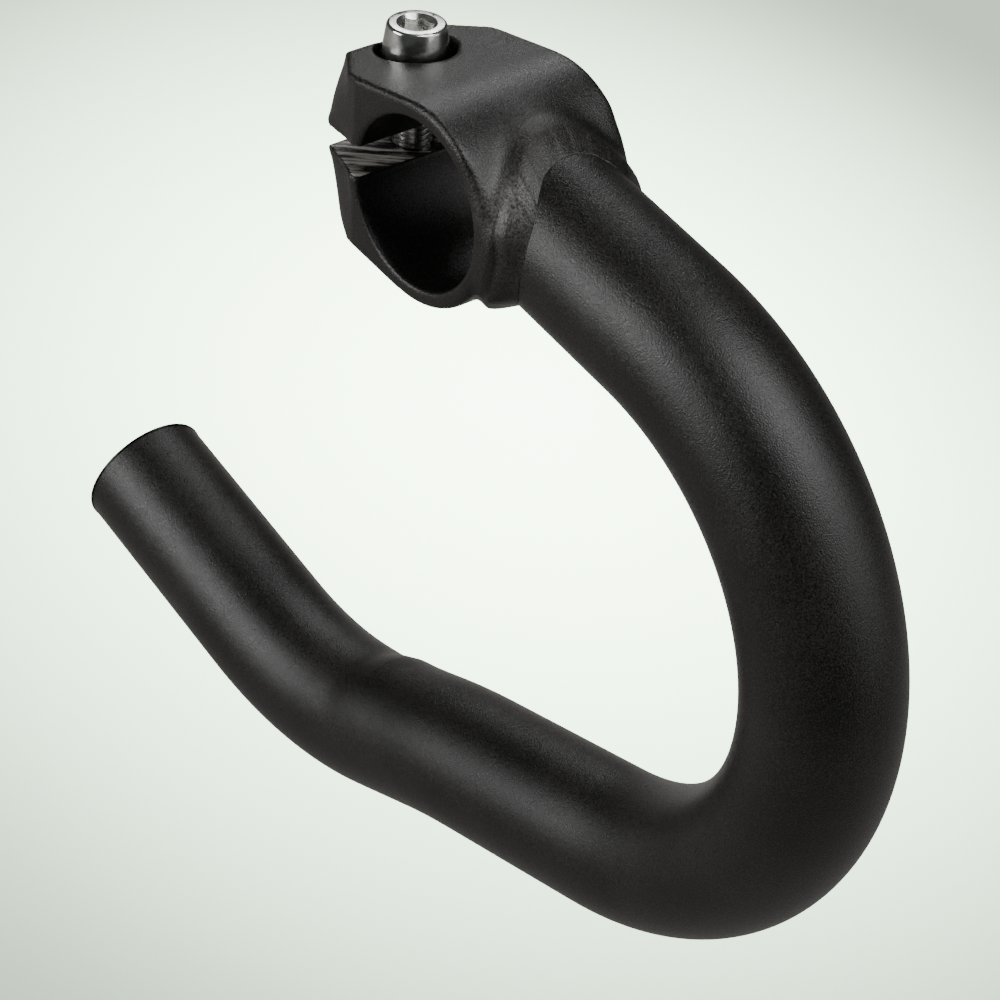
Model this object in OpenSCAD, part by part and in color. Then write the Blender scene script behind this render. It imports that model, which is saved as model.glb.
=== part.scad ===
// Bicycle bar end: a bent tube welded to a split clamp that grips the end of a handlebar.
// Millimetres. Origin: centre of the clamp bore. +X: the way the tube leaves the clamp,
// +Y: along the handlebar, away from the open front face, +Z: up.

/* [Clamp] */
// Diameter of the handlebar that the clamp takes
bore_d = 22.2; // [19:0.1:26]
// Width of the clamp along the handlebar
clamp_w = 24; // [18:0.5:30]
// Wall of the ring round the bore
ring_wall = 2.3; // [1.8:0.1:4]
// Radius on the outer edges of the ring and the neck
ring_edge_r = 1; // [0.3:0.1:1.4]
// Chamfer at both mouths of the bore
bore_chamfer = 0.35; // [0.1:0.05:0.8]

/* [Lugs] */
// Lean of the screw, its foot towards the tube
screw_lean = 13; // [0:1:25]
// Extra fall of the top face towards the rear
top_fall = 7; // [0:1:12]
// Metal between the bore and the screw hole
screw_web = 0.9; // [0.6:0.1:2]
// Metal between the counterbore and the rear end
end_wall = 0.8; // [0.5:0.1:3]
// Rounding of the upper lug where its top meets its end
nose_r = 2.2; // [1:0.1:7]
// Half width of the lugs at their rear end
lug_end_half_w = 9.8; // [8:0.1:12]
// Distance behind the bore's rim where the lugs begin to narrow
shoulder_back = 0.5; // [0.1:0.1:3]
// Rounding of the lugs' upright corners
lug_corner_r = 3; // [1:0.1:4]
// Distance of the upper lug's corner bevels from the bore centre
bevel_reach = 20.4; // [18:0.1:23]
// Turn of the corner bevels from the rear end towards the side
bevel_turn = 51; // [40:1:60]
// Upward tilt of the corner bevels
bevel_tilt = 19; // [5:1:40]
// Rounding of the lugs' long edges
lug_edge_r = 0.8; // [0.3:0.1:2]
// Width of the slit where it opens into the bore
slit_bore_w = 4.4; // [2.5:0.1:6]
// Width of the slit between the lips
slit_lip_w = 2.2; // [1.5:0.1:4]
// Height of the slit's middle over the bore centre
slit_rise = 0.7; // [0:0.1:1.5]
// Rounding of the upper lip
upper_lip_r = 2.0; // [0.5:0.1:2.5]
// Rounding of the lower lip
lower_lip_r = 1.0; // [0.3:0.1:1.5]
// Setback of the lower lip from the upper lug's end
lower_lip_back = 1; // [0.1:0.1:3]
// Setback of the lower lug's heel
heel_back = 3.4; // [1:0.1:4.5]
// Depth of the heel below the bore centre
heel_drop = 5.8; // [5:0.1:9]
// Setback of the lower lug's toe, where its underside begins
toe_back = 5; // [4:0.1:8]
// Rounding of the heel and the toe
lower_r = 3; // [1:0.5:4]
// Rise of the underside towards the rear
bottom_rise = 11; // [0:1:15]

/* [Neck and weld] */
// Height of the tube's axis over the bore centre
tube_rise = 2; // [-2:0.5:4]
// Diameter of the neck that the tube is welded to
neck_d = 24.4; // [22:0.1:26]
// Height of the neck's axis over the bore centre
neck_rise = 1; // [-1:0.1:2]
// Length of the neck from the ring's skin to its end face
neck_stand = 1.9; // [1:0.1:4]
// Length of the weld along the sides of the tube
weld_leg = 2.9; // [1.5:0.1:4]
// Length of the weld along the top and the bottom of the tube
weld_leg_top = 1.5; // [1:0.1:3]
// Fullness of the weld's face, from 0 for a flat one to 1
weld_crown = 0.4; // [0:0.1:1]
// Distance from one ripple of the weld to the next
weld_pitch = 2.3; // [1.5:0.1:4]
// Depth of the ripples, as a share of the weld's size
weld_ripple = 0.1; // [0:0.02:0.2]

/* [Tube] */
// Outside diameter of the tube
tube_d = 20; // [18:0.1:22]
// Wall of the tube
tube_wall = 2; // [1.2:0.1:3]
// Straight run from the bore centre to the hook bend
straight_1 = 33; // [28:1:50]
// Centre-line radius of the hook bend
bend_r_1 = 41; // [34:1:55]
// Angle of the hook bend
bend_angle_1 = 155; // [120:1:165]
// Straight run under the hand
straight_2 = 27; // [15:1:40]
// Centre-line radius of the easing bend
bend_r_2 = 100; // [60:5:140]
// Angle of the easing bend, which turns the other way
bend_angle_2 = 6; // [2:1:15]
// Straight run between the easing bend and the tail bend
straight_3 = 11.5; // [5:0.5:25]
// Centre-line radius of the tail bend
bend_r_3 = 48; // [34:1:65]
// Angle of the tail bend
bend_angle_3 = 35.5; // [15:0.5:60]
// Straight tail of the tube
tail = 33.8; // [20:0.1:60]

/* [End plug] */
// Thickness of the plug's flange
flange_t = 0.7; // [0.5:0.1:2]
// Rise of the flange's domed face
flange_dome = 0.3; // [0.1:0.1:0.4]
// Length of the plug inside the tube
plug_len = 12; // [8:1:18]
// Wall of the plug's skirt
plug_wall = 1.4; // [1:0.1:2.5]
// Number of the grip rings on the skirt
plug_rings = 3; // [2:1:4]
// Height of the grip rings over the skirt
plug_rib = 0.4; // [0.2:0.1:0.8]
// Clearance between the grip rings and the tube
plug_fit = 0.03; // [0:0.01:0.1]

/* [Screw] */
// Nominal diameter of the screw
screw_d = 5; // [4:1:6]
// Length under the head
screw_len = 20; // [16:1:24]
// Length of the tapered tip
screw_tip = 0.8; // [0.3:0.1:1.5]
// Diameter of the head at its foot
head_foot_d = 9; // [8:0.1:9.6]
// Diameter of the head at its top
head_top_d = 7.5; // [7:0.1:8.5]
// Height of the head
head_h = 5; // [4:0.1:6]
// Rounding of the head's top edge
head_edge = 0.35; // [0.1:0.05:0.6]
// Hexagon socket across its flats
hex_af = 4; // [3:0.5:4.5]
// Depth of the hexagon socket
hex_depth = 2.6; // [2:0.1:3.2]
// Diameter of the countersink over the socket
hex_mouth_d = 5.2; // [4.9:0.1:5.6]
// How far the screw is backed out of its seat
backed_out = 1.5; // [0:0.1:3]
// Height of the screw's seat over the bore centre, along the screw
seat_h = 8.5; // [7:0.1:9.5]
// Diameter of the counterbore
counterbore_d = 10.5; // [10:0.1:11.5]
// Clearance round the screw in the upper lug
hole_clearance = 0.25; // [0.1:0.05:0.5]
// Clearance round the screw in the tapped lower lug
thread_clearance = 0.04; // [0.02:0.01:0.1]

/* [Hidden] */
$fn = 96;
bore_r = bore_d / 2;
ring_r = bore_r + ring_wall;
neck_reach = ring_r + neck_stand;
half_w = clamp_w / 2;
// How far a cut runs past the metal
past = 1;
// Angle between the points of a rounded corner
corner_step = 9;
tube_r = tube_d / 2;
tube_bore_r = tube_r - tube_wall;
hole_r = screw_d / 2 + hole_clearance;
counterbore_r = counterbore_d / 2;
screw_x = -(bore_r + screw_web + hole_r);
lug_end_x = screw_x - counterbore_r - end_wall;
// The lugs' top and underside leave the ring this far under its skin
skin_lap = 0.03;
// Gap between the weld and the metal it lies on
weld_gap = 0.03;
head_seat = seat_h + backed_out;
// The bends are this much thicker than the runs, and the runs reach this far into the bends
seam_step = 0.05;
seam_lap = 0.2;
bends = [[straight_1, bend_r_1, bend_angle_1], [straight_2, bend_r_2, -bend_angle_2],
         [straight_3, bend_r_3, bend_angle_3]];

// Joins stations along the tube: heading below the horizontal, and place in the XZ plane
function ahead(h) = [cos(h), -sin(h)];
function across(h) = [sin(h), cos(h)];
function heading(k) = k == 0 ? 0 : heading(k - 1) + bends[k - 1][2];
function start_of(k) = k == 0 ? [0, tube_rise] : bend_centre(k - 1) + side(k - 1) * across(heading(k));
function side(k) = sign(bends[k][2]) * bends[k][1];
function bend_start(k) = start_of(k) + bends[k][0] * ahead(heading(k));
function bend_centre(k) = bend_start(k) - side(k) * across(heading(k));
last = len(bends);

// Points of a polygon whose corners [x, y, radius] are rounded
function corner_arc(a, b, c) =
    let (corner = [b.x, b.y], r = b[2], u = unit([a.x - b.x, a.y - b.y]), v = unit([c.x - b.x, c.y - b.y]),
         half = acos(u * v) / 2, reach = r / tan(half), centre = corner + unit(u + v) * r / sin(half),
         from = corner + u * reach - centre, to = corner + v * reach - centre,
         first = atan2(from.y, from.x), turn = wrap(atan2(to.y, to.x) - first),
         n = ceil(abs(turn) / corner_step))
    r == 0 ? [corner] : [for (i = [0:n]) centre + r * [cos(first + turn * i / n), sin(first + turn * i / n)]];
function unit(v) = v / norm(v);
function wrap(a) = a > 180 ? a - 360 : a < -180 ? a + 360 : a;
function rounded(c) = [for (i = [0:len(c) - 1])
    each corner_arc(c[(i + len(c) - 1) % len(c)], c[i], c[(i + 1) % len(c)])];

// Extrudes an outline drawn in the XZ plane, centred on Y = 0
module along_bar(w) {
    rotate([90, 0, 0]) linear_extrude(w, center = true) children();
}

// Moves children into the lugs' own frame, where the screw stands upright
module leaning() {
    rotate([0, -screw_lean, 0]) children();
}

// Faces of the slit at a distance from the bore centre: its middle, plus or minus half its width
function slit_w(x) = slit_bore_w + (slit_lip_w - slit_bore_w) * (-x - bore_r) / (-lug_end_x - bore_r);

// Drum round the bore axis, its edges rounded; its inside is cut away with the bore
module drum(outer) {
    inner = bore_r - past;
    rotate([90, 0, 0]) rotate_extrude()
        polygon(rounded([[inner, -half_w, 0], [outer, -half_w, ring_edge_r], [outer, half_w, ring_edge_r],
                         [inner, half_w, 0]]));
}

// Height of a line that leaves the ring's skin and comes closer to the screw's middle by fall degrees
function off_ring(x, fall) = (ring_r - skin_lap + x * sin(fall)) / cos(fall);

module lug_outlines() {
    upper = slit_rise + slit_lip_w / 2;
    lower = slit_rise - slit_lip_w / 2;
    top_x = -ring_r * sin(top_fall);
    under_x = -ring_r * sin(bottom_rise);
    polygon(rounded([[top_x, off_ring(top_x, top_fall), 0], [lug_end_x, off_ring(lug_end_x, top_fall), nose_r],
                     [lug_end_x, upper, upper_lip_r], [top_x, upper, 0]]));
    polygon(rounded([[under_x, lower, 0], [lug_end_x + lower_lip_back, lower, lower_lip_r],
                     [lug_end_x + heel_back, -heel_drop, lower_r],
                     [lug_end_x + toe_back, -off_ring(lug_end_x + toe_back, bottom_rise), lower_r],
                     [under_x, -off_ring(under_x, bottom_rise), 0]]));
}

module lug_plan() {
    shoulder_x = -bore_r - shoulder_back;
    polygon(rounded([[0, -half_w, 0], [shoulder_x, -half_w, 0], [lug_end_x, -lug_end_half_w, lug_corner_r],
                     [lug_end_x, lug_end_half_w, lug_corner_r], [shoulder_x, half_w, 0], [0, half_w, 0]]));
}

// Section of a lug across the screw, as high as height, with its outer edges rounded
module lug_section(height) {
    polygon(rounded([[-half_w, 0, 0], [half_w, 0, 0], [half_w, height, lug_edge_r],
                     [-half_w, height, lug_edge_r]]));
}

// Outer side of the flat bevel on the upper lug's corner, on the side given by 1 or -1
module corner_bevel(side) {
    rotate([0, 0, 180 - side * bevel_turn]) rotate([0, -bevel_tilt, 0])
        translate([bevel_reach, -ring_r, -ring_r]) cube(2 * ring_r);
}

module lugs() {
    difference() {
        lug_blanks();
        for (side = [-1, 1]) corner_bevel(side);
    }
}

module lug_blanks() {
    intersection() {
        along_bar(clamp_w) lug_outlines();
        linear_extrude(4 * ring_r, center = true) lug_plan();
        union() {
            rotate([0, 270 - top_fall, 0]) rotate([0, 0, 270])
                linear_extrude(2 * ring_r) lug_section(ring_r - skin_lap);
            rotate([0, 270 + bottom_rise, 0]) rotate([0, 0, 90])
                linear_extrude(2 * ring_r) lug_section(ring_r - skin_lap);
        }
    }
}

module neck() {
    intersection() {
        translate([0, 0, neck_rise]) rotate([0, 90, 0]) cylinder(h = neck_reach + past, d = neck_d);
        drum(neck_reach);
    }
}

module slit() {
    inner = slit_w(0) / 2;
    outer = slit_w(lug_end_x) / 2;
    along_bar(clamp_w + 2 * past)
        polygon([[0, slit_rise - inner], [0, slit_rise + inner], [lug_end_x, slit_rise + outer],
                 [lug_end_x, slit_rise - outer]]);
}

module bore() {
    rotate([90, 0, 0]) {
        cylinder(h = clamp_w + 2 * past, r = bore_r, center = true);
        for (s = [-1, 1]) mirror([0, 0, s < 0 ? 1 : 0])
            translate([0, 0, half_w - bore_chamfer])
                cylinder(h = 2 * bore_chamfer, r1 = bore_r, r2 = bore_r + 2 * bore_chamfer);
    }
}

module screw_holes() {
    translate([screw_x, 0, 0]) {
        translate([0, 0, seat_h]) cylinder(h = ring_r, r = counterbore_r);
        cylinder(h = seat_h + past, r = hole_r);
        translate([0, 0, -2 * ring_r]) cylinder(h = 2 * ring_r, r = screw_d / 2 + thread_clearance);
    }
}

module clamp_head() {
    color("#2b2b2b") difference() {
        union() {
            drum(ring_r);
            leaning() lugs();
            neck();
        }
        bore();
        leaning() {
            slit();
            screw_holes();
        }
    }
}

// Rods of radius r along the tube's centre line: straight run k, and the bend after it. A run laps
// into its neighbour bends and a bend is a little thicker, so their skins never coincide
module run(k, h, r) {
    lap = k == 0 ? 0 : seam_lap;
    translate([start_of(k).x, 0, start_of(k).y]) rotate([0, 90 + heading(k), 0])
        translate([0, 0, -lap]) cylinder(h = h + lap, r = r);
}

module bend(k, r) {
    turn = bends[k][2];
    first = turn > 0 ? 90 - heading(k) - turn : 270 - heading(k);
    translate([bend_centre(k).x, 0, bend_centre(k).y]) rotate([0, -first, 0]) rotate([90, 0, 0])
        rotate_extrude(angle = abs(turn)) translate([bends[k][1], 0]) circle(r = r + seam_step);
}

module route(r, past_end) {
    for (k = [0:last - 1]) {
        run(k, bends[k][0] + seam_lap, r);
        bend(k, r);
    }
    run(last, tail + past_end, r);
}

module bar_tube() {
    color("#2b2b2b") difference() {
        route(tube_r, 0);
        route(tube_bore_r, past);
        rotate([90, 0, 0]) cylinder(h = 4 * tube_r, r = neck_reach, center = true);
    }
}

// A point on the weld: from_bore is its distance from the bore axis, out its distance from the tube axis
function weld_point(angle, from_bore, out) =
    let (z = tube_rise + out * cos(angle)) [sqrt(from_bore * from_bore - z * z), out * sin(angle), z];

// Distance from the tube axis to the neck's edge, at an angle from the top
function neck_edge(angle) =
    let (drop = tube_rise - neck_rise, side = abs(sin(angle)),
         round_edge = sqrt(pow(neck_d / 2, 2) - pow(drop * side, 2)) - drop * cos(angle))
    min(round_edge, (half_w - ring_edge_r) / max(side, 0.1));

module weld_bead() {
    crown_steps = 6;
    foot_steps = 4;
    ripples = round(PI * tube_d / weld_pitch);
    stations = 2 * ripples;
    section = function (i)
        let (angle = 360 * i / stations, size = i % 2 == 0 ? 1 : 1 - weld_ripple,
             foot = neck_edge(angle) - tube_r - weld_gap,
             leg = weld_leg + (weld_leg_top - weld_leg) * pow(cos(angle), 2))
        concat([for (s = [0:foot_steps - 1])
                   [neck_reach + weld_gap, tube_r + weld_gap + foot * size * s / foot_steps]],
               [for (s = [0:crown_steps]) let (t = s / crown_steps)
                   [neck_reach + weld_gap + leg * size * t,
                    tube_r + weld_gap + foot * size * (1 - t) * (1 + weld_crown * t)]]);
    m = crown_steps + foot_steps + 1;
    points = [for (i = [0:stations - 1]) each [for (p = section(i)) weld_point(360 * i / stations, p[0], p[1])]];
    faces = [for (i = [0:stations - 1]) for (j = [0:m - 1])
        let (a = i * m + j, b = i * m + (j + 1) % m, c = ((i + 1) % stations) * m + (j + 1) % m,
             d = ((i + 1) % stations) * m + j) each [[a, c, b], [a, d, c]]];
    color("#3a3a3a") polyhedron(points, faces);
}

// Plug, its skirt inside the tube and its thin flange over the tube's end
module end_plug() {
    skirt_r = tube_bore_r - plug_rib;
    skirt_bore_r = skirt_r - plug_wall;
    grip_r = tube_bore_r - plug_fit;
    pitch = plug_len / (plug_rings + 1);
    dome = [for (i = [8:-1:0]) let (part = i / 8) [tube_r * part, flange_t - flange_dome * part * part]];
    color("#101010")
    translate([start_of(last).x, 0, start_of(last).y]) rotate([0, 90 + heading(last), 0])
    translate([0, 0, tail]) {
        rotate_extrude() polygon(concat([[0, -plug_wall], [skirt_bore_r, -plug_wall], [skirt_bore_r, -plug_len],
                                         [skirt_r, -plug_len], [skirt_r, 0], [tube_r, 0]], dome));
        for (i = [1:plug_rings]) translate([0, 0, -i * pitch]) rotate_extrude()
            polygon([[skirt_r - plug_rib / 2, -2 * plug_rib], [grip_r, -plug_rib / 2], [grip_r, plug_rib / 2],
                     [skirt_r - plug_rib / 2, 2 * plug_rib]]);
    }
}

module clamp_screw() {
    sink_h = (hex_mouth_d - hex_af) / 2;
    color("silver") leaning() translate([screw_x, 0, head_seat]) {
        difference() {
            rotate_extrude() polygon(rounded([[0, 0, 0], [head_foot_d / 2, 0, 0],
                                              [head_top_d / 2, head_h, head_edge], [0, head_h, 0]]));
            translate([0, 0, head_h - hex_depth]) cylinder(h = hex_depth + past, d = hex_af / cos(30), $fn = 6);
            translate([0, 0, head_h - sink_h])
                cylinder(h = 2 * sink_h, d1 = hex_mouth_d - 2 * sink_h, d2 = hex_mouth_d + 2 * sink_h);
        }
        translate([0, 0, -screw_len + screw_tip]) cylinder(h = screw_len - screw_tip, d = screw_d);
        translate([0, 0, -screw_len]) cylinder(h = screw_tip, d1 = screw_d - 2 * screw_tip, d2 = screw_d);
    }
}

clamp_head();
bar_tube();
weld_bead();
end_plug();
clamp_screw();
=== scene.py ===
import math
import bpy
import bmesh
from mathutils import Vector, Matrix, noise
from mathutils.bvhtree import BVHTree


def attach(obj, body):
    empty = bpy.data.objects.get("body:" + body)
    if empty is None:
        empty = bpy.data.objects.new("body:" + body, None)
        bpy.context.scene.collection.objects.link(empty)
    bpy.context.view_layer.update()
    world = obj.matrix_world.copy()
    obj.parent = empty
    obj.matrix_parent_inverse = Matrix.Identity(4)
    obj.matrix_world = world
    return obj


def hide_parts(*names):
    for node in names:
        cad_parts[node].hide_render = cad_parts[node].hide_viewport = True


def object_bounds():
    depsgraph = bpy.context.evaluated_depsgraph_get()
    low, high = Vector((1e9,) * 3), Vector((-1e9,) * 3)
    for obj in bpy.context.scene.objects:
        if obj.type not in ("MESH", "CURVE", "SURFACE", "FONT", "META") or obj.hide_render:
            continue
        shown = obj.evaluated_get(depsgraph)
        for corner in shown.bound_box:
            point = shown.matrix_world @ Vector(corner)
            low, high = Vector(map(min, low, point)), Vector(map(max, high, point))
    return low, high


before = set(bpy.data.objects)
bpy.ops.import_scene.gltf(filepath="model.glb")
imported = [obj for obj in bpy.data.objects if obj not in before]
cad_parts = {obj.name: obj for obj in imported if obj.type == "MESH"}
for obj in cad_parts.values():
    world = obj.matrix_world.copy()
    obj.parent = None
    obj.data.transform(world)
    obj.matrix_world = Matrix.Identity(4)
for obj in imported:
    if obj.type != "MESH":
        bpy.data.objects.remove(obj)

# Bicycle bar end: bent tube, split clamp, weld, end plug and clamp screw. Metres, in the CAD's frame.
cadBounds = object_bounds()
mm = 0.001
print("frame loaded:", sorted(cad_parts))


# ---- small helpers

def linearColour(hexText):
    values = [int(hexText[i:i + 2], 16) / 255 for i in (1, 3, 5)]
    return [v / 12.92 if v <= 0.04045 else ((v + 0.055) / 1.055) ** 2.4 for v in values] + [1.0]


def addNode(tree, kind, settings=None, values=None, links=None):
    node = tree.nodes.new(kind)
    for name, value in (settings or {}).items():
        setattr(node, name, value)
    for name, value in (values or {}).items():
        node.inputs[name].default_value = value
    for name, source in (links or {}).items():
        tree.links.new(source, node.inputs[name])
    return node


def newMaterial(name, values):
    material = bpy.data.materials.new(name)
    material.use_nodes = True
    tree = material.node_tree
    tree.nodes.clear()
    shader = addNode(tree, "ShaderNodeBsdfPrincipled", values=values)
    addNode(tree, "ShaderNodeOutputMaterial", links={"Surface": shader.outputs["BSDF"]})
    return material, tree, shader


def finishPiece(name, bm, material, body, nodes=(), sharpAngle=35):
    mesh = bpy.data.meshes.new(name)
    bm.to_mesh(mesh)
    bm.free()
    return placePiece(name, mesh, material, body, nodes, sharpAngle)


def placePiece(name, mesh, material, body, nodes=(), sharpAngle=35):
    piece = bpy.data.objects.new(name, mesh)
    bpy.context.scene.collection.objects.link(piece)
    mesh.materials.clear()
    mesh.materials.append(material)
    mesh.shade_smooth()
    mesh.set_sharp_from_angle(angle=math.radians(sharpAngle))
    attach(piece, body)
    if nodes:
        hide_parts(*nodes)
    return piece


def applyModifiers(piece):
    graph = bpy.context.evaluated_depsgraph_get()
    mesh = bpy.data.meshes.new_from_object(piece.evaluated_get(graph))
    piece.modifiers.clear()
    old = piece.data
    piece.data = mesh
    bpy.data.meshes.remove(old)


def looseObject(name, mesh):
    piece = bpy.data.objects.new(name, mesh)
    bpy.context.scene.collection.objects.link(piece)
    return piece


def takeMesh(piece):
    mesh = piece.data
    bpy.data.objects.remove(piece)
    return mesh


# ---- camera, as the photograph was taken

cameraSetup = {
    "place": (0.17991, -0.19847, 0.20787),
    "right": (0.61916, 0.76019, 0.19686),
    "up": (-0.63904, 0.34207, 0.68893),
    "back": (0.45637, -0.55235, 0.69759),
    "lens": 98.655,
    "sensor": 36.0,
}


def makeCamera(s):
    data = bpy.data.cameras.new("photoCamera")
    data.lens = s["lens"]
    data.sensor_width = s["sensor"]
    data.clip_start = 0.01
    data.clip_end = 20
    camera = bpy.data.objects.new("photoCamera", data)
    bpy.context.scene.collection.objects.link(camera)
    turn = Matrix((s["right"], s["up"], s["back"])).transposed().to_4x4()
    camera.matrix_world = Matrix.Translation(s["place"]) @ turn
    bpy.context.scene.camera = camera


makeCamera(cameraSetup)
print("camera placed")


# ---- materials

blackAnodised = {
    "colour": "#060505",
    "paleGrain": "#2b2927",
    "roughness": 0.3,
    "grain": 0.2 * mm,       # bead-blast pits are about 0.05 mm, drawn coarser so that they show
    "grainHeight": 0.085 * mm,
}


def makeBlackAnodised(s):
    # Black anodised aluminium over bead blasting: a dark, even satin that breaks highlights into fine grain
    material, tree, shader = newMaterial("blackAnodisedAluminium", {"Roughness": s["roughness"], "IOR": 1.5})
    place = addNode(tree, "ShaderNodeTexCoord").outputs["Object"]
    grain = addNode(tree, "ShaderNodeTexNoise", values={"Scale": 1 / s["grain"], "Detail": 2.0, "Roughness": 0.6},
                    links={"Vector": place})
    cloud = addNode(tree, "ShaderNodeTexNoise", values={"Scale": 90.0, "Detail": 3.0}, links={"Vector": place})
    mottle = addNode(tree, "ShaderNodeMath", {"operation": "MULTIPLY_ADD"}, {1: 0.3},
                     {0: cloud.outputs["Fac"], 2: grain.outputs["Fac"]})
    spread = addNode(tree, "ShaderNodeMapRange", values={"From Min": 0.6, "From Max": 0.8},
                     links={"Value": mottle.outputs[0]})
    colour = addNode(tree, "ShaderNodeMix", {"data_type": "RGBA"},
                     {6: linearColour(s["colour"]), 7: linearColour(s["paleGrain"])},
                     {0: spread.outputs["Result"]})
    tree.links.new(colour.outputs[2], shader.inputs["Base Color"])
    rough = addNode(tree, "ShaderNodeMapRange",
                    values={"From Min": 0.3, "From Max": 0.7, "To Min": s["roughness"] - 0.05,
                            "To Max": s["roughness"] + 0.07}, links={"Value": grain.outputs["Fac"]})
    tree.links.new(rough.outputs["Result"], shader.inputs["Roughness"])
    bump = addNode(tree, "ShaderNodeBump", values={"Strength": 0.9, "Distance": s["grainHeight"]},
                   links={"Height": grain.outputs["Fac"]})
    tree.links.new(bump.outputs["Normal"], shader.inputs["Normal"])
    return material


sawnSlit = {
    "lean": 13,                 # the slit leans with the screw
    "low": -2.6 * mm, "high": 4.4 * mm,
    "front": -11.3 * mm,
    "pitch": 0.55 * mm,
    "height": 0.3 * mm,
    "streak": "#c4c1ba",
}


def makeClampFinish(body, s):
    # The same anodised finish, with the slitting saw's marks across the faces of the slit
    material = makeBlackAnodised(body)
    material.name = "blackAnodisedClamp"
    tree = material.node_tree
    shader = next(n for n in tree.nodes if n.type == "BSDF_PRINCIPLED")
    bump = next(n for n in tree.nodes if n.type == "BUMP")
    place = next(n for n in tree.nodes if n.type == "TEX_COORD").outputs["Object"]
    upright = addNode(tree, "ShaderNodeMapping", values={"Rotation": (0, math.radians(s["lean"]), 0)},
                      links={"Vector": place})
    axes = addNode(tree, "ShaderNodeSeparateXYZ", links={"Vector": upright.outputs[0]})
    above = addNode(tree, "ShaderNodeMath", {"operation": "GREATER_THAN"}, {1: s["low"]}, {0: axes.outputs["Z"]})
    below = addNode(tree, "ShaderNodeMath", {"operation": "LESS_THAN"}, {1: s["high"]}, {0: axes.outputs["Z"]})
    behind = addNode(tree, "ShaderNodeMath", {"operation": "LESS_THAN"}, {1: s["front"]}, {0: axes.outputs["X"]})
    facing = addNode(tree, "ShaderNodeNewGeometry")
    normal = addNode(tree, "ShaderNodeVectorMath", {"operation": "DOT_PRODUCT"},
                     {1: (-math.sin(math.radians(s["lean"])), 0, math.cos(math.radians(s["lean"])))},
                     {0: facing.outputs["True Normal"]})
    flat = addNode(tree, "ShaderNodeMath", {"operation": "ABSOLUTE"}, links={0: normal.outputs["Value"]})
    sawn = addNode(tree, "ShaderNodeMapRange", values={"From Min": 0.9, "From Max": 0.98},
                   links={"Value": flat.outputs[0]})
    mask = sawn.outputs["Result"]
    for other in (above, below, behind):
        mask = addNode(tree, "ShaderNodeMath", {"operation": "MULTIPLY"}, links={0: mask, 1: other.outputs[0]}).outputs[0]
    turned = addNode(tree, "ShaderNodeMapping", values={"Rotation": (0, 0, math.radians(-54))},
                     links={"Vector": upright.outputs[0]})
    drawn = addNode(tree, "ShaderNodeMapping", values={"Scale": (0.09, 1, 1)}, links={"Vector": turned.outputs[0]})
    marks = addNode(tree, "ShaderNodeTexNoise", values={"Scale": 0.62 / s["pitch"], "Detail": 3.0, "Roughness": 0.55},
                    links={"Vector": drawn.outputs[0]})
    masked = addNode(tree, "ShaderNodeMath", {"operation": "MULTIPLY"}, links={0: marks.outputs["Fac"], 1: mask})
    ridges = addNode(tree, "ShaderNodeBump", values={"Strength": 1.0, "Distance": s["height"]},
                     links={"Height": masked.outputs[0], "Normal": bump.outputs["Normal"]})
    tree.links.new(ridges.outputs["Normal"], shader.inputs["Normal"])
    streak = addNode(tree, "ShaderNodeMapRange", values={"From Min": 0.5, "From Max": 0.62},
                     links={"Value": masked.outputs[0]})
    body = shader.inputs["Base Color"].links[0].from_socket
    streaked = addNode(tree, "ShaderNodeMix", {"data_type": "RGBA"}, {7: linearColour(s["streak"])},
                       {0: streak.outputs["Result"], 6: body})
    tree.links.new(streaked.outputs[2], shader.inputs["Base Color"])
    return material


weldFinish = {
    "colour": "#060505",
    "paleGrain": "#33302d",
    "roughness": 0.36,
    "grain": 0.24 * mm,
    "grainHeight": 0.11 * mm,
}

groundPatch = {
    "middle": (12.6 * mm, -9.4 * mm, 8.8 * mm), "reach": 5.6 * mm, "core": 1.5 * mm,
    "scratch": 0.32 * mm, "colour": "#6c6b69",
}


def addGroundPatch(material, s):
    # Where the bead was ground down beside the ring, paler scratches show through the black
    tree = material.node_tree
    shader = next(n for n in tree.nodes if n.type == "BSDF_PRINCIPLED")
    place = next(n for n in tree.nodes if n.type == "TEX_COORD").outputs["Object"]
    away = addNode(tree, "ShaderNodeVectorMath", {"operation": "DISTANCE"}, {1: s["middle"]}, {0: place})
    near = addNode(tree, "ShaderNodeMapRange", values={"From Min": s["reach"], "From Max": s["core"]},
                   links={"Value": away.outputs["Value"]})
    marks = addNode(tree, "ShaderNodeTexNoise", values={"Scale": 1 / s["scratch"], "Detail": 4.0, "Roughness": 0.7},
                    links={"Vector": place})
    shown = addNode(tree, "ShaderNodeMapRange", values={"From Min": 0.38, "From Max": 0.68},
                    links={"Value": marks.outputs["Fac"]})
    amount = addNode(tree, "ShaderNodeMath", {"operation": "MULTIPLY"},
                     links={0: near.outputs["Result"], 1: shown.outputs["Result"]})
    colour = addNode(tree, "ShaderNodeMix", {"data_type": "RGBA"}, {7: linearColour(s["colour"])},
                     {0: amount.outputs[0], 6: shader.inputs["Base Color"].links[0].from_socket})
    tree.links.new(colour.outputs[2], shader.inputs["Base Color"])


brightSteel = {"colour": "#d2d2d0", "darkColour": "#a3a3a1", "roughness": 0.17, "turning": 0.09 * mm}


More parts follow.
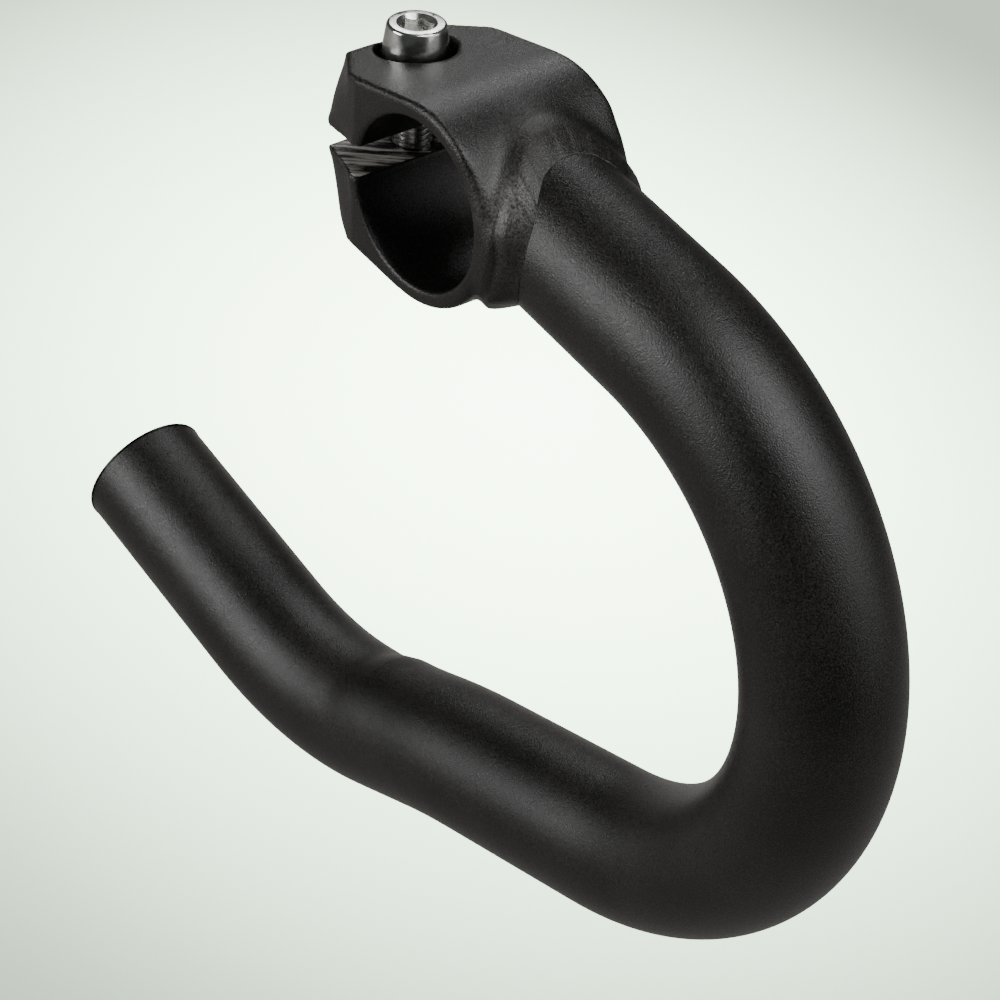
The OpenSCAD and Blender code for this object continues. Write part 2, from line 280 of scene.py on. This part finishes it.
def makeBrightSteel(s):
    # Nickel-plated steel, turned: bright and mirror-like, with fine rings and a few dull spots
    material, tree, shader = newMaterial("nickelPlatedSteel", {"Metallic": 1.0, "Roughness": s["roughness"]})
    place = addNode(tree, "ShaderNodeTexCoord").outputs["Object"]
    spots = addNode(tree, "ShaderNodeTexNoise", values={"Scale": 700.0, "Detail": 4.0}, links={"Vector": place})
    amount = addNode(tree, "ShaderNodeMapRange", values={"From Min": 0.52, "From Max": 0.72},
                     links={"Value": spots.outputs["Fac"]})
    colour = addNode(tree, "ShaderNodeMix", {"data_type": "RGBA"},
                     {6: linearColour(s["colour"]), 7: linearColour(s["darkColour"])},
                     {0: amount.outputs["Result"]})
    tree.links.new(colour.outputs[2], shader.inputs["Base Color"])
    rough = addNode(tree, "ShaderNodeMapRange",
                    values={"From Min": 0.35, "From Max": 0.75, "To Min": s["roughness"] - 0.05,
                            "To Max": s["roughness"] + 0.15}, links={"Value": spots.outputs["Fac"]})
    tree.links.new(rough.outputs["Result"], shader.inputs["Roughness"])
    upright = addNode(tree, "ShaderNodeMapping", values={"Rotation": (0, math.radians(13), 0)}, links={"Vector": place})
    rings = addNode(tree, "ShaderNodeTexNoise", values={"Scale": 1 / s["turning"], "Detail": 2.0})
    squeeze = addNode(tree, "ShaderNodeMapping", values={"Scale": (0.04, 0.04, 1.0)},
                      links={"Vector": upright.outputs[0]})
    tree.links.new(squeeze.outputs[0], rings.inputs["Vector"])
    bump = addNode(tree, "ShaderNodeBump", values={"Strength": 0.5, "Distance": 0.004 * mm},
                   links={"Height": rings.outputs["Fac"]})
    tree.links.new(bump.outputs["Normal"], shader.inputs["Normal"])
    return material


blackPlastic = {"colour": "#010101", "roughness": 0.3, "shine": 0.2}


def makeBlackPlastic(s):
    # Moulded polyethylene: deep glossy black with a faint orange-peel in its reflections
    material, tree, shader = newMaterial("blackPolyethylene",
                                         {"Base Color": linearColour(s["colour"]), "Roughness": s["roughness"],
                                          "Specular IOR Level": s["shine"]})
    place = addNode(tree, "ShaderNodeTexCoord").outputs["Object"]
    peel = addNode(tree, "ShaderNodeTexNoise", values={"Scale": 900.0, "Detail": 2.0}, links={"Vector": place})
    bump = addNode(tree, "ShaderNodeBump", values={"Strength": 0.3, "Distance": 0.01 * mm},
                   links={"Height": peel.outputs["Fac"]})
    tree.links.new(bump.outputs["Normal"], shader.inputs["Normal"])
    return material


tubeFinish = makeBlackAnodised(blackAnodised)
clampFinish = makeClampFinish(blackAnodised, sawnSlit)
weldMaterial = makeBlackAnodised(weldFinish)
weldMaterial.name = "blackAnodisedWeld"
addGroundPatch(clampFinish, groundPatch)
addGroundPatch(weldMaterial, groundPatch)
steelFinish = makeBrightSteel(brightSteel)
plugFinish = makeBlackPlastic(blackPlastic)
print("materials made")


# ---- bent tube

tube = {
    "outer": 10 * mm, "inner": 8 * mm, "rise": 2 * mm, "start": 8 * mm, "segments": 144,
    "cope": 15.3 * mm,
    "bends": [(33 * mm, 41 * mm, 155), (27 * mm, 100 * mm, -6), (11.5 * mm, 48 * mm, 35.5)],
    "tail": 33.8 * mm, "step": 1.4 * mm,
    "markBend": 2, "markHeight": 0.2 * mm, "markLength": 2.6 * mm,
}


def ahead(heading):
    return Vector((math.cos(heading), 0, -math.sin(heading)))


def pullLoop(bm, edges, shift, pieces):
    for i in range(pieces):
        made = bmesh.ops.extrude_edge_only(bm, edges=edges)["geom"]
        edges = [g for g in made if isinstance(g, bmesh.types.BMEdge)]
        verts = [g for g in made if isinstance(g, bmesh.types.BMVert)]
        bmesh.ops.translate(bm, verts=verts, vec=shift / pieces)
    return edges


def pressMark(bm, s, at, along, outward):
    # where the bending die ended, the tube's inner side keeps a low ridge with a flat before it
    for v in bm.verts:
        off = v.co - at
        if off.length < 14 * mm:
            reach = off.dot(along) / s["markLength"]
            inner = max(0, -off.dot(outward)) / s["outer"]
            v.co -= outward * s["markHeight"] * inner * (math.exp(-(reach + 1) ** 2) - 0.6 * math.exp(-(reach - 1) ** 2))


def sweepSkin(bm, radius, s):
    made = bmesh.ops.create_circle(bm, segments=s["segments"], radius=radius)["verts"]
    bmesh.ops.rotate(bm, verts=made, matrix=Matrix.Rotation(math.radians(90), 3, "Y"))
    place, heading = Vector((s["start"], 0, s["rise"])), 0.0
    bmesh.ops.translate(bm, verts=made, vec=place)
    first = list({e for v in made for e in v.link_edges})
    edges = first
    travelled = s["start"]
    for length, bendRadius, turn in s["bends"]:
        shift = ahead(heading) * (length - travelled)
        edges = pullLoop(bm, edges, shift, max(1, round(shift.length / s["step"] / 2)))
        place, travelled = place + shift, 0
        if (length, bendRadius, turn) == s["bends"][s["markBend"]]:
            mark = (place.copy(), ahead(heading), Vector((math.sin(heading), 0, math.cos(heading))))
        side = bendRadius if turn > 0 else -bendRadius
        angle = math.radians(turn)
        centre = place - side * Vector((math.sin(heading), 0, math.cos(heading)))
        spun = bmesh.ops.spin(bm, geom=edges, cent=centre, axis=(0, 1, 0), angle=angle,
                              steps=max(3, round(abs(angle) * bendRadius / s["step"])))["geom_last"]
        edges = [g for g in spun if isinstance(g, bmesh.types.BMEdge)]
        heading += angle
        place = centre + side * Vector((math.sin(heading), 0, math.cos(heading)))
    edges = pullLoop(bm, edges, ahead(heading) * s["tail"], 6)
    pressMark(bm, s, *mark)
    return first, edges, place, heading


def makeTube(s):
    bm = bmesh.new()
    outerFirst, outerLast, place, heading = sweepSkin(bm, s["outer"], s)
    innerFirst, innerLast, _, _ = sweepSkin(bm, s["inner"], s)
    bmesh.ops.bridge_loops(bm, edges=outerFirst + innerFirst)
    bmesh.ops.bridge_loops(bm, edges=outerLast + innerLast)
    bmesh.ops.recalc_face_normals(bm, faces=bm.faces[:])
    mesh = bpy.data.meshes.new("barTube")
    bm.to_mesh(mesh)
    bm.free()
    blank = looseObject("tubeBlank", mesh)
    cutterMesh = bpy.data.meshes.new("copeCutter")
    cut = bmesh.new()
    bmesh.ops.create_cone(cut, cap_ends=True, segments=192, radius1=s["cope"], radius2=s["cope"], depth=60 * mm)
    bmesh.ops.rotate(cut, verts=cut.verts[:], matrix=Matrix.Rotation(math.radians(90), 3, "X"))
    cut.to_mesh(cutterMesh)
    cut.free()
    cutter = looseObject("copeCutter", cutterMesh)
    cope = blank.modifiers.new("cope", "BOOLEAN")
    cope.operation, cope.solver, cope.object = "DIFFERENCE", "EXACT", cutter
    applyModifiers(blank)
    bpy.data.objects.remove(cutter)
    tail = {"place": place, "heading": heading, "end": place + ahead(heading) * s["tail"]}
    placePiece("barTube", takeMesh(blank), tubeFinish, "bar_end", ["bar_tube"])
    return tail


tail = makeTube(tube)
print("tube made, tail ends at", [round(v * 1000, 3) for v in tail["end"]])


# ---- end plug

plug = {
    "radius": 10.1 * mm, "skirt": 7.6 * mm, "grip": 7.97 * mm, "wall": 1.4 * mm, "depth": 12 * mm,
    "flange": 0.7 * mm, "dome": 0.3 * mm, "rings": 3, "edge": 0.15 * mm, "steps": 128,
}


def spinProfile(bm, points, steps):
    verts = [bm.verts.new((x, 0, z)) for x, z in points]
    edges = [bm.edges.new(pair) for pair in zip(verts, verts[1:])]
    bmesh.ops.spin(bm, geom=verts + edges, cent=(0, 0, 0), axis=(0, 0, 1), angle=math.tau, steps=steps,
                   use_merge=True)
    bmesh.ops.remove_doubles(bm, verts=bm.verts[:], dist=1e-6)
    bmesh.ops.recalc_face_normals(bm, faces=bm.faces[:])


def makePlug(s, tail):
    bm = bmesh.new()
    bore = s["skirt"] - s["wall"]
    points = [(0, -s["wall"]), (bore, -s["wall"]), (bore, -s["depth"]), (s["skirt"], -s["depth"])]
    pitch = s["depth"] / (s["rings"] + 1)
    for i in range(s["rings"], 0, -1):
        middle = -i * pitch
        points += [(s["skirt"], middle - 0.6 * mm), (s["grip"], middle - 0.2 * mm),
                   (s["grip"], middle + 0.2 * mm), (s["skirt"], middle + 0.6 * mm)]
    rim = s["flange"] - s["dome"]
    points += [(s["skirt"], 0), (s["radius"], 0), (s["radius"], rim - s["edge"]),
               (s["radius"] - 0.3 * s["edge"], rim - 0.3 * s["edge"]), (s["radius"] - s["edge"], rim)]
    for i in range(7, -1, -1):
        part = i / 8
        points.append((s["radius"] * part, s["flange"] - s["dome"] * part * part))
    spinProfile(bm, points, s["steps"])
    turn = Matrix.Rotation(math.radians(90) + tail["heading"], 4, "Y")
    bmesh.ops.transform(bm, verts=bm.verts[:], matrix=Matrix.Translation(tail["end"]) @ turn)
    finishPiece("endPlug", bm, plugFinish, "bar_end", ["end_plug"], 40)


makePlug(plug, tail)
print("plug made")


# ---- clamp body: the CAD solid with its edges broken and its neck blended into the ring

clamp = {
    "voxel": 0.27 * mm, "edgePasses": 5, "lean": 13,
    "ring": 13.4 * mm, "neckRadius": 12.2 * mm, "neckRise": 1 * mm, "bore": 11.1 * mm,
    "noseOut": 0.9 * mm, "hole": 5 * mm, "holeX": -14.75 * mm, "topAt": 12.3 * mm, "topFall": 7,
    "blendReach": 3.8 * mm, "blendFloor": -5 * mm,
    "passes": {"blend": 110, "nose": 450, "crown": 260, "neckEnd": 60},
}


def smoothStep(low, high, value):
    t = min(1, max(0, (value - low) / (high - low)))
    return t * t * (3 - 2 * t)


def mergedCopy(node, name):
    bm = bmesh.new()
    bm.from_mesh(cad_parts[node].data)
    bmesh.ops.remove_doubles(bm, verts=bm.verts[:], dist=1e-6)
    mesh = bpy.data.meshes.new(name)
    bm.to_mesh(mesh)
    bm.free()
    return mesh


def softShares(co, s):
    # how far each part of the clamp's skin is rounded: 0 keeps the CAD shape
    x, y, z = co
    lean = math.radians(s["lean"])
    alongLug = x * math.cos(lean) + z * math.sin(lean)
    upLug = z * math.cos(lean) - x * math.sin(lean)
    fromBore = math.hypot(x, z)
    fromNeck = math.hypot(y, z - s["neckRise"])
    fromHole = math.hypot(alongLug - s["holeX"], y)
    top = s["topAt"] + (alongLug + 7 * mm) * math.tan(math.radians(s["topFall"]))
    skin = smoothStep(s["bore"] + 0.6 * mm, s["bore"] + 1.4 * mm, fromBore)
    shares = {"blend": 0, "nose": 0, "crown": 0, "neckEnd": 0}
    if x > 0 and z > s["blendFloor"]:
        corner = math.hypot(fromBore - s["ring"], fromNeck - s["neckRadius"])
        shares["blend"] = skin * (1 - smoothStep(0.7, 1, corner / s["blendReach"]))
    if x > 6 * mm:
        shares["neckEnd"] = smoothStep(13.9 * mm, 14.6 * mm, fromBore)
    if alongLug < -13 * mm:
        clearHole = smoothStep(s["hole"] + 0.7 * mm, s["hole"] + 1.6 * mm, fromHole) if upLug > 0 else 1
        if upLug > 0:
            band = smoothStep(2.6 * mm, 3.8 * mm, upLug) * (1 - smoothStep(-1.3 * mm, -0.2 * mm, upLug - top))
        else:
            band = 0.45 * smoothStep(0.8 * mm, 3 * mm, -upLug)
        shares["nose"] = clearHole * band * smoothStep(13 * mm, 15 * mm, -alongLug)
    if upLug > 7.5 * mm and abs(alongLug) < 11 * mm:
        edge = 1 - smoothStep(10.2 * mm, 11.4 * mm, -y)
        edge *= 1 - smoothStep(7.5 * mm, 9.5 * mm, y)
        shares["crown"] = skin * edge * smoothStep(7.5 * mm, 9.5 * mm, upLug) * (1 - smoothStep(6 * mm, 11 * mm, abs(alongLug)))
    return shares


def makeClamp(s):
    blank = looseObject("clampBlank", mergedCopy("clamp_head", "clampBody"))
    remesh = blank.modifiers.new("voxels", "REMESH")
    remesh.mode, remesh.voxel_size, remesh.adaptivity = "VOXEL", s["voxel"], 0.0
    smooth = blank.modifiers.new("breakEdges", "SMOOTH")
    smooth.factor, smooth.iterations = 0.5, s["edgePasses"]
    applyModifiers(blank)
    groups = {name: blank.vertex_groups.new(name=name) for name in s["passes"]}
    for v in blank.data.vertices:
        for name, share in softShares(v.co, s).items():
            if share > 0.01:
                groups[name].add([v.index], share, "REPLACE")
    for name, passes in s["passes"].items():
        step = blank.modifiers.new(name, "SMOOTH")
        step.factor, step.iterations, step.vertex_group = 0.5, passes, name
        step.use_z = name != "nose"
    applyModifiers(blank)
    # rounding draws the lugs' ends in a little, so they are pushed out again
    push = Vector((-math.cos(math.radians(s["lean"])), 0, -math.sin(math.radians(s["lean"])))) * s["noseOut"]
    nose = groups["nose"].index
    for v in blank.data.vertices:
        for member in v.groups:
            if member.group == nose:
                v.co += push * member.weight
    blank.vertex_groups.clear()
    skin = bmesh.new()
    skin.from_mesh(blank.data)
    tree = BVHTree.FromBMesh(skin)
    skin.free()
    mesh = takeMesh(blank)
    placePiece("clampBody", mesh, clampFinish, "bar_end", ["clamp_head"], 60)
    print("clamp body faces:", len(mesh.polygons))
    return tree


clampSkin = makeClamp(clamp)


# ---- weld bead: a rippled fillet that runs round the saddle-shaped joint

weld = {
    "reach": 15.3 * mm, "back": 2.6 * mm, "leg": 2.9 * mm, "legEnds": 1.5 * mm, "sunk": 0.3 * mm,
    "neckRadius": 12.2 * mm, "neckRise": 1 * mm, "halfWidth": 11.2 * mm,
    "rippleHeight": 0.2 * mm, "ripples": 29, "crescent": 0.55, "swell": 0.1 * mm,
    "stations": 464, "across": 26, "under": 5,
}


def neckEdge(angle, s):
    drop = tube["rise"] - s["neckRise"]
    side = abs(math.sin(angle))
    roundEdge = math.sqrt(s["neckRadius"] ** 2 - (drop * side) ** 2) - drop * math.cos(angle)
    return min(roundEdge, s["halfWidth"] / max(side, 0.1))


def weldPoint(angle, t, s):
    # t runs from under the neck's skin at 0, over the shoulder, to the toe on the tube at 1
    edge = neckEdge(angle, s)
    fromTop = abs(math.degrees(math.remainder(angle, math.tau)))
    side = smoothStep(20, 60, fromTop) * (1 - smoothStep(105, 150, fromTop))
    leg = s["legEnds"] + (s["leg"] - s["legEnds"]) * side
    foot = edge - tube["outer"]
    fromBore = s["reach"] - s["back"] + (s["back"] + leg) * t
    shoulder = s["back"] / (s["back"] + leg) * 0.85
    fall = max(0.0, (t - shoulder) / (1 - shoulder))
    shape = 1 - smoothStep(0, 1, fall)
    rise = smoothStep(0, shoulder, t)
    out = tube["outer"] + foot * shape - s["sunk"] * (1 - rise)
    phase = angle / math.tau * s["ripples"] + s["crescent"] * (2 * t - 1) ** 2 * 1.4
    saw = phase - math.floor(phase)
    ripple = (1 - saw) ** 0.8 * min(1.0, saw * 6)
    fade = math.sin(math.pi * min(1, max(0, fall))) ** 0.7 if fall > 0 else 0
    ground = 1 - 0.75 * smoothStep(45, 70, fromTop) * (1 - smoothStep(110, 140, fromTop))
    out += s["swell"] * fade + s["rippleHeight"] * (ripple - 0.5) * fade * ground
    return fromBore, out


def makeWeld(s):
    bm = bmesh.new()
    across, under = s["across"], s["under"]
    rows = across + under
    bmesh.ops.create_grid(bm, x_segments=s["stations"], y_segments=rows, size=0.5)
    for v in bm.verts:
        angle = (v.co.x + 0.5) * math.tau
        row = round((v.co.y + 0.5) * rows) % rows
        if row <= across:
            fromBore, out = weldPoint(angle, row / across, s)
        else:
            edge = (row - across) / under          # the hidden side, back along the tube
            startBore, startOut = weldPoint(angle, 1.0, s)
            endBore, endOut = weldPoint(angle, 0.0, s)
            fromBore = startBore + (endBore - startBore) * edge
            out = tube["outer"] - 0.3 * mm + (endOut - 0.6 * mm - tube["outer"] + 0.3 * mm) * max(0, edge - 0.4) / 0.6
        if row == 0:
            out -= 0.12 * mm
        if row == across:
            out -= 0.05 * mm
        z = tube["rise"] + out * math.cos(angle)
        x = math.sqrt(max(fromBore * fromBore - z * z, 1e-9))
        y = out * math.sin(angle)
        lump = noise.noise(Vector((x, y, z)) * 420) * 0.07 * mm if 0 < row < across else 0
        spread = 1 + lump / out
        v.co = (x, y * spread, tube["rise"] + (z - tube["rise"]) * spread)
        if row < across * 0.55:
            # the bead's back edge rises out of the clamp's skin at a shallow angle
            t = row / across
            hit, normal, _, _ = clampSkin.find_nearest(v.co)
            laid = hit + normal * (-0.22 + 0.34 * smoothStep(0, 0.5, t)) * mm
            v.co = laid.lerp(v.co, smoothStep(0.3, 0.55, t))
    bmesh.ops.remove_doubles(bm, verts=bm.verts[:], dist=1e-6)
    bmesh.ops.recalc_face_normals(bm, faces=bm.faces[:])
    for i in range(2):
        bmesh.ops.smooth_vert(bm, verts=bm.verts[:], factor=0.5, use_axis_x=True, use_axis_y=True, use_axis_z=True)
    finishPiece("weldBead", bm, weldMaterial, "bar_end", ["weld_bead"], 60)


makeWeld(weld)
print("weld made")


# ---- clamp screw: conical socket head, M5 thread

screw = {
    "lean": 13, "x": -14.75 * mm, "seat": 10 * mm,
    "headFoot": 4.5 * mm, "headTop": 3.75 * mm, "headHeight": 5 * mm, "topEdge": 0.45 * mm, "footEdge": 0.2 * mm,
    "hex": 4 * mm, "hexDepth": 2.6 * mm, "mouth": 5.2 * mm,
    "length": 20 * mm, "major": 2.5 * mm, "minor": 2.06 * mm, "pitch": 0.8 * mm, "steps": 96,
}


def roundedCorner(before, corner, after, radius, steps=5):
    # points of an arc that rounds a corner of a profile
    a = (Vector(before) - Vector(corner)).normalized()
    b = (Vector(after) - Vector(corner)).normalized()
    half = math.acos(max(-1, min(1, a.dot(b)))) / 2
    centre = Vector(corner) + (a + b).normalized() * radius / math.sin(half)
    start = Vector(corner) + a * radius / math.tan(half) - centre
    turn = math.pi - 2 * half
    side = 1 if a.x * b.y - a.y * b.x < 0 else -1
    return [tuple(centre + Matrix.Rotation(side * turn * i / steps, 2) @ start) for i in range(steps + 1)]


def makeScrew(s):
    foot, top, height = s["headFoot"], s["headTop"], s["headHeight"]
    head = bmesh.new()
    profile = [(0, 0)] + roundedCorner((0, 0), (foot, 0), (top, height), s["footEdge"], 3)
    profile += roundedCorner((foot, 0), (top, height), (0, height), s["topEdge"]) + [(0, height)]
    spinProfile(head, profile, 128)
    headMesh = bpy.data.meshes.new("screwHead")
    head.to_mesh(headMesh)
    head.free()
    blank = looseObject("screwBlank", headMesh)
    cut = bmesh.new()
    corner = s["hex"] / math.sqrt(3)
    bmesh.ops.create_cone(cut, cap_ends=True, segments=6, radius1=corner, radius2=corner, depth=s["hexDepth"] * 2,
                          matrix=Matrix.Translation((0, 0, height)) @ Matrix.Rotation(math.radians(30), 4, "Z"))
    cutMesh = bpy.data.meshes.new("socketCutter")
    cut.to_mesh(cutMesh)
    cut.free()
    socket = looseObject("socketCutter", cutMesh)
    sink = bmesh.new()
    mouth, sinkDepth = s["mouth"] / 2, 0.6 * mm
    bmesh.ops.create_cone(sink, cap_ends=True, segments=96, radius1=mouth - sinkDepth, radius2=mouth + sinkDepth,
                          depth=sinkDepth * 2, matrix=Matrix.Translation((0, 0, height)))
    sinkMesh = bpy.data.meshes.new("sinkCutter")
    sink.to_mesh(sinkMesh)
    sink.free()
    countersink = looseObject("sinkCutter", sinkMesh)
    for cutter in (socket, countersink):
        step = blank.modifiers.new("cut", "BOOLEAN")
        step.operation, step.solver, step.object = "DIFFERENCE", "EXACT", cutter
    applyModifiers(blank)
    bpy.data.objects.remove(socket)
    bpy.data.objects.remove(countersink)
    bm = bmesh.new()
    bm.from_mesh(blank.data)
    takeMesh(blank)
    # core of the shank and its tapered tip
    core = bmesh.new()
    tip = 0.5 * mm
    spinProfile(core, [(0, -s["length"]), (s["minor"] - tip, -s["length"]), (s["minor"], -s["length"] + tip),
                       (s["minor"], 0.3 * mm), (0, 0.3 * mm)], 64)
    # one thread ridge, wound up the core
    ridge = bmesh.new()
    half = s["pitch"] / 2
    low = -s["length"] + tip + half
    section = [(s["minor"] - 0.05 * mm, low - half * 0.92), (s["major"], low - half * 0.16),
               (s["major"], low + half * 0.16), (s["minor"] - 0.05 * mm, low + half * 0.92)]
    face = ridge.faces.new([ridge.verts.new((x, 0, z)) for x, z in section])
    turns = (s["length"] - tip - s["pitch"] * 1.4) / s["pitch"]
    steps = round(turns * 40)
    bmesh.ops.spin(ridge, geom=[face] + list(face.edges) + list(face.verts), cent=(0, 0, 0), axis=(0, 0, 1),
                   dvec=(0, 0, s["pitch"] / 40), angle=math.tau * steps / 40, steps=steps)
    bmesh.ops.recalc_face_normals(ridge, faces=ridge.faces[:])
    for part in (core, ridge):
        scratch = bpy.data.meshes.new("scratch")
        part.to_mesh(scratch)
        part.free()
        bm.from_mesh(scratch)
        bpy.data.meshes.remove(scratch)
    lean = Matrix.Rotation(math.radians(-s["lean"]), 4, "Y")
    bmesh.ops.transform(bm, verts=bm.verts[:], matrix=lean @ Matrix.Translation((s["x"], 0, s["seat"])))
    finishPiece("clampScrew", bm, steelFinish, "clamp_screw", ["clamp_screw"], 28)


makeScrew(screw)
print("screw made")


# ---- floor and light

studio = {
    "floorDrop": 60 * mm, "glowTint": "#d4f1cf", "paper": "#8e8c89", "floorSize": 6.0,
    "glow": 11.0, "edgeGlow": 0.9, "glowReach": 0.2, "given": 0.075, "glowMiddle": (-0.09, 0.128, 0),
    "world": "#dfe8dd", "worldStrength": 0.09, "worldShown": 0.62,
}


def makeFloor(s):
    bm = bmesh.new()
    bmesh.ops.create_grid(bm, x_segments=2, y_segments=2, size=s["floorSize"] / 2)
    bmesh.ops.translate(bm, verts=bm.verts[:], vec=(0, 0, cadBounds[0][2] - s["floorDrop"]))
    mesh = bpy.data.meshes.new("floor")
    bm.to_mesh(mesh)
    bm.free()
    floor = looseObject("floor", mesh)
    # Pale matt paper with a painted glow and no lamp behind it: its emission is brightest under the object and falls
    # off towards the corners
    material, tree, shader = newMaterial("paperWithPaintedGlow", {"Base Color": linearColour(s["paper"]), "Roughness": 0.9})
    place = addNode(tree, "ShaderNodeTexCoord").outputs["Object"]
    flat = addNode(tree, "ShaderNodeVectorMath", {"operation": "MULTIPLY"}, {1: (1, 1, 0)}, {0: place})
    away = addNode(tree, "ShaderNodeVectorMath", {"operation": "DISTANCE"}, {1: s["glowMiddle"]},
                   {0: flat.outputs[0]})
    glow = addNode(tree, "ShaderNodeMapRange", {"interpolation_type": "SMOOTHSTEP"},
                   {"From Max": s["glowReach"], "To Min": s["glow"], "To Max": s["edgeGlow"]},
                   {"Value": away.outputs["Value"]})
    # the backdrop is bright to look at, but gives the object only a little of its light
    rays = addNode(tree, "ShaderNodeLightPath")
    share = addNode(tree, "ShaderNodeMapRange", values={"To Min": s["given"], "To Max": 1.0},
                    links={"Value": rays.outputs["Is Camera Ray"]})
    shown = addNode(tree, "ShaderNodeMath", {"operation": "MULTIPLY"},
                    links={0: glow.outputs["Result"], 1: share.outputs["Result"]})
    tree.links.new(shown.outputs[0], shader.inputs["Emission Strength"])
    # the painted glow is tinted pale green where the camera sees it, and has the paper's colour in the light it gives
    tint = addNode(tree, "ShaderNodeMix", {"data_type": "RGBA"},
                   {6: linearColour(s["paper"]), 7: linearColour(s["glowTint"])},
                   {0: rays.outputs["Is Camera Ray"]})
    tree.links.new(tint.outputs[2], shader.inputs["Emission Color"])
    mesh.materials.append(material)


def makeWorld(s):
    world = bpy.data.worlds.new("studio")
    world.use_nodes = True
    tree = world.node_tree
    tree.nodes.clear()
    rays = addNode(tree, "ShaderNodeLightPath")
    strength = addNode(tree, "ShaderNodeMapRange", values={"To Min": s["worldStrength"], "To Max": s["worldShown"]},
                       links={"Value": rays.outputs["Is Camera Ray"]})
    sky = addNode(tree, "ShaderNodeBackground", values={"Color": linearColour(s["world"])},
                  links={"Strength": strength.outputs["Result"]})
    addNode(tree, "ShaderNodeOutputWorld", links={"Surface": sky.outputs[0]})
    bpy.context.scene.world = world


def addAreaLight(name, place, target, size, power):
    data = bpy.data.lights.new(name, "AREA")
    data.shape = "RECTANGLE"
    data.size, data.size_y = size
    data.energy = power
    light = bpy.data.objects.new(name, data)
    bpy.context.scene.collection.objects.link(light)
    light.location = place
    light.rotation_euler = (Vector(target) - Vector(place)).to_track_quat("-Z", "Y").to_euler()


makeFloor(studio)
makeWorld(studio)
middle = (0.01, 0, -0.05)
addAreaLight("keyLeft", (-0.49, -0.83, 0.21), middle, (0.56, 0.46), 6.6)
addAreaLight("topSoft", (0.3, 0.17, 1.0), middle, (0.6, 0.7), 8.2)
addAreaLight("rearCard", (-0.445, 0.331, 0.269), (-0.01, 0, 0.01), (0.2, 0.18), 0.78)
addAreaLight("rearFill", (0.8, 0.42, 0.55), middle, (0.9, 0.9), 3.2)
print("studio made")
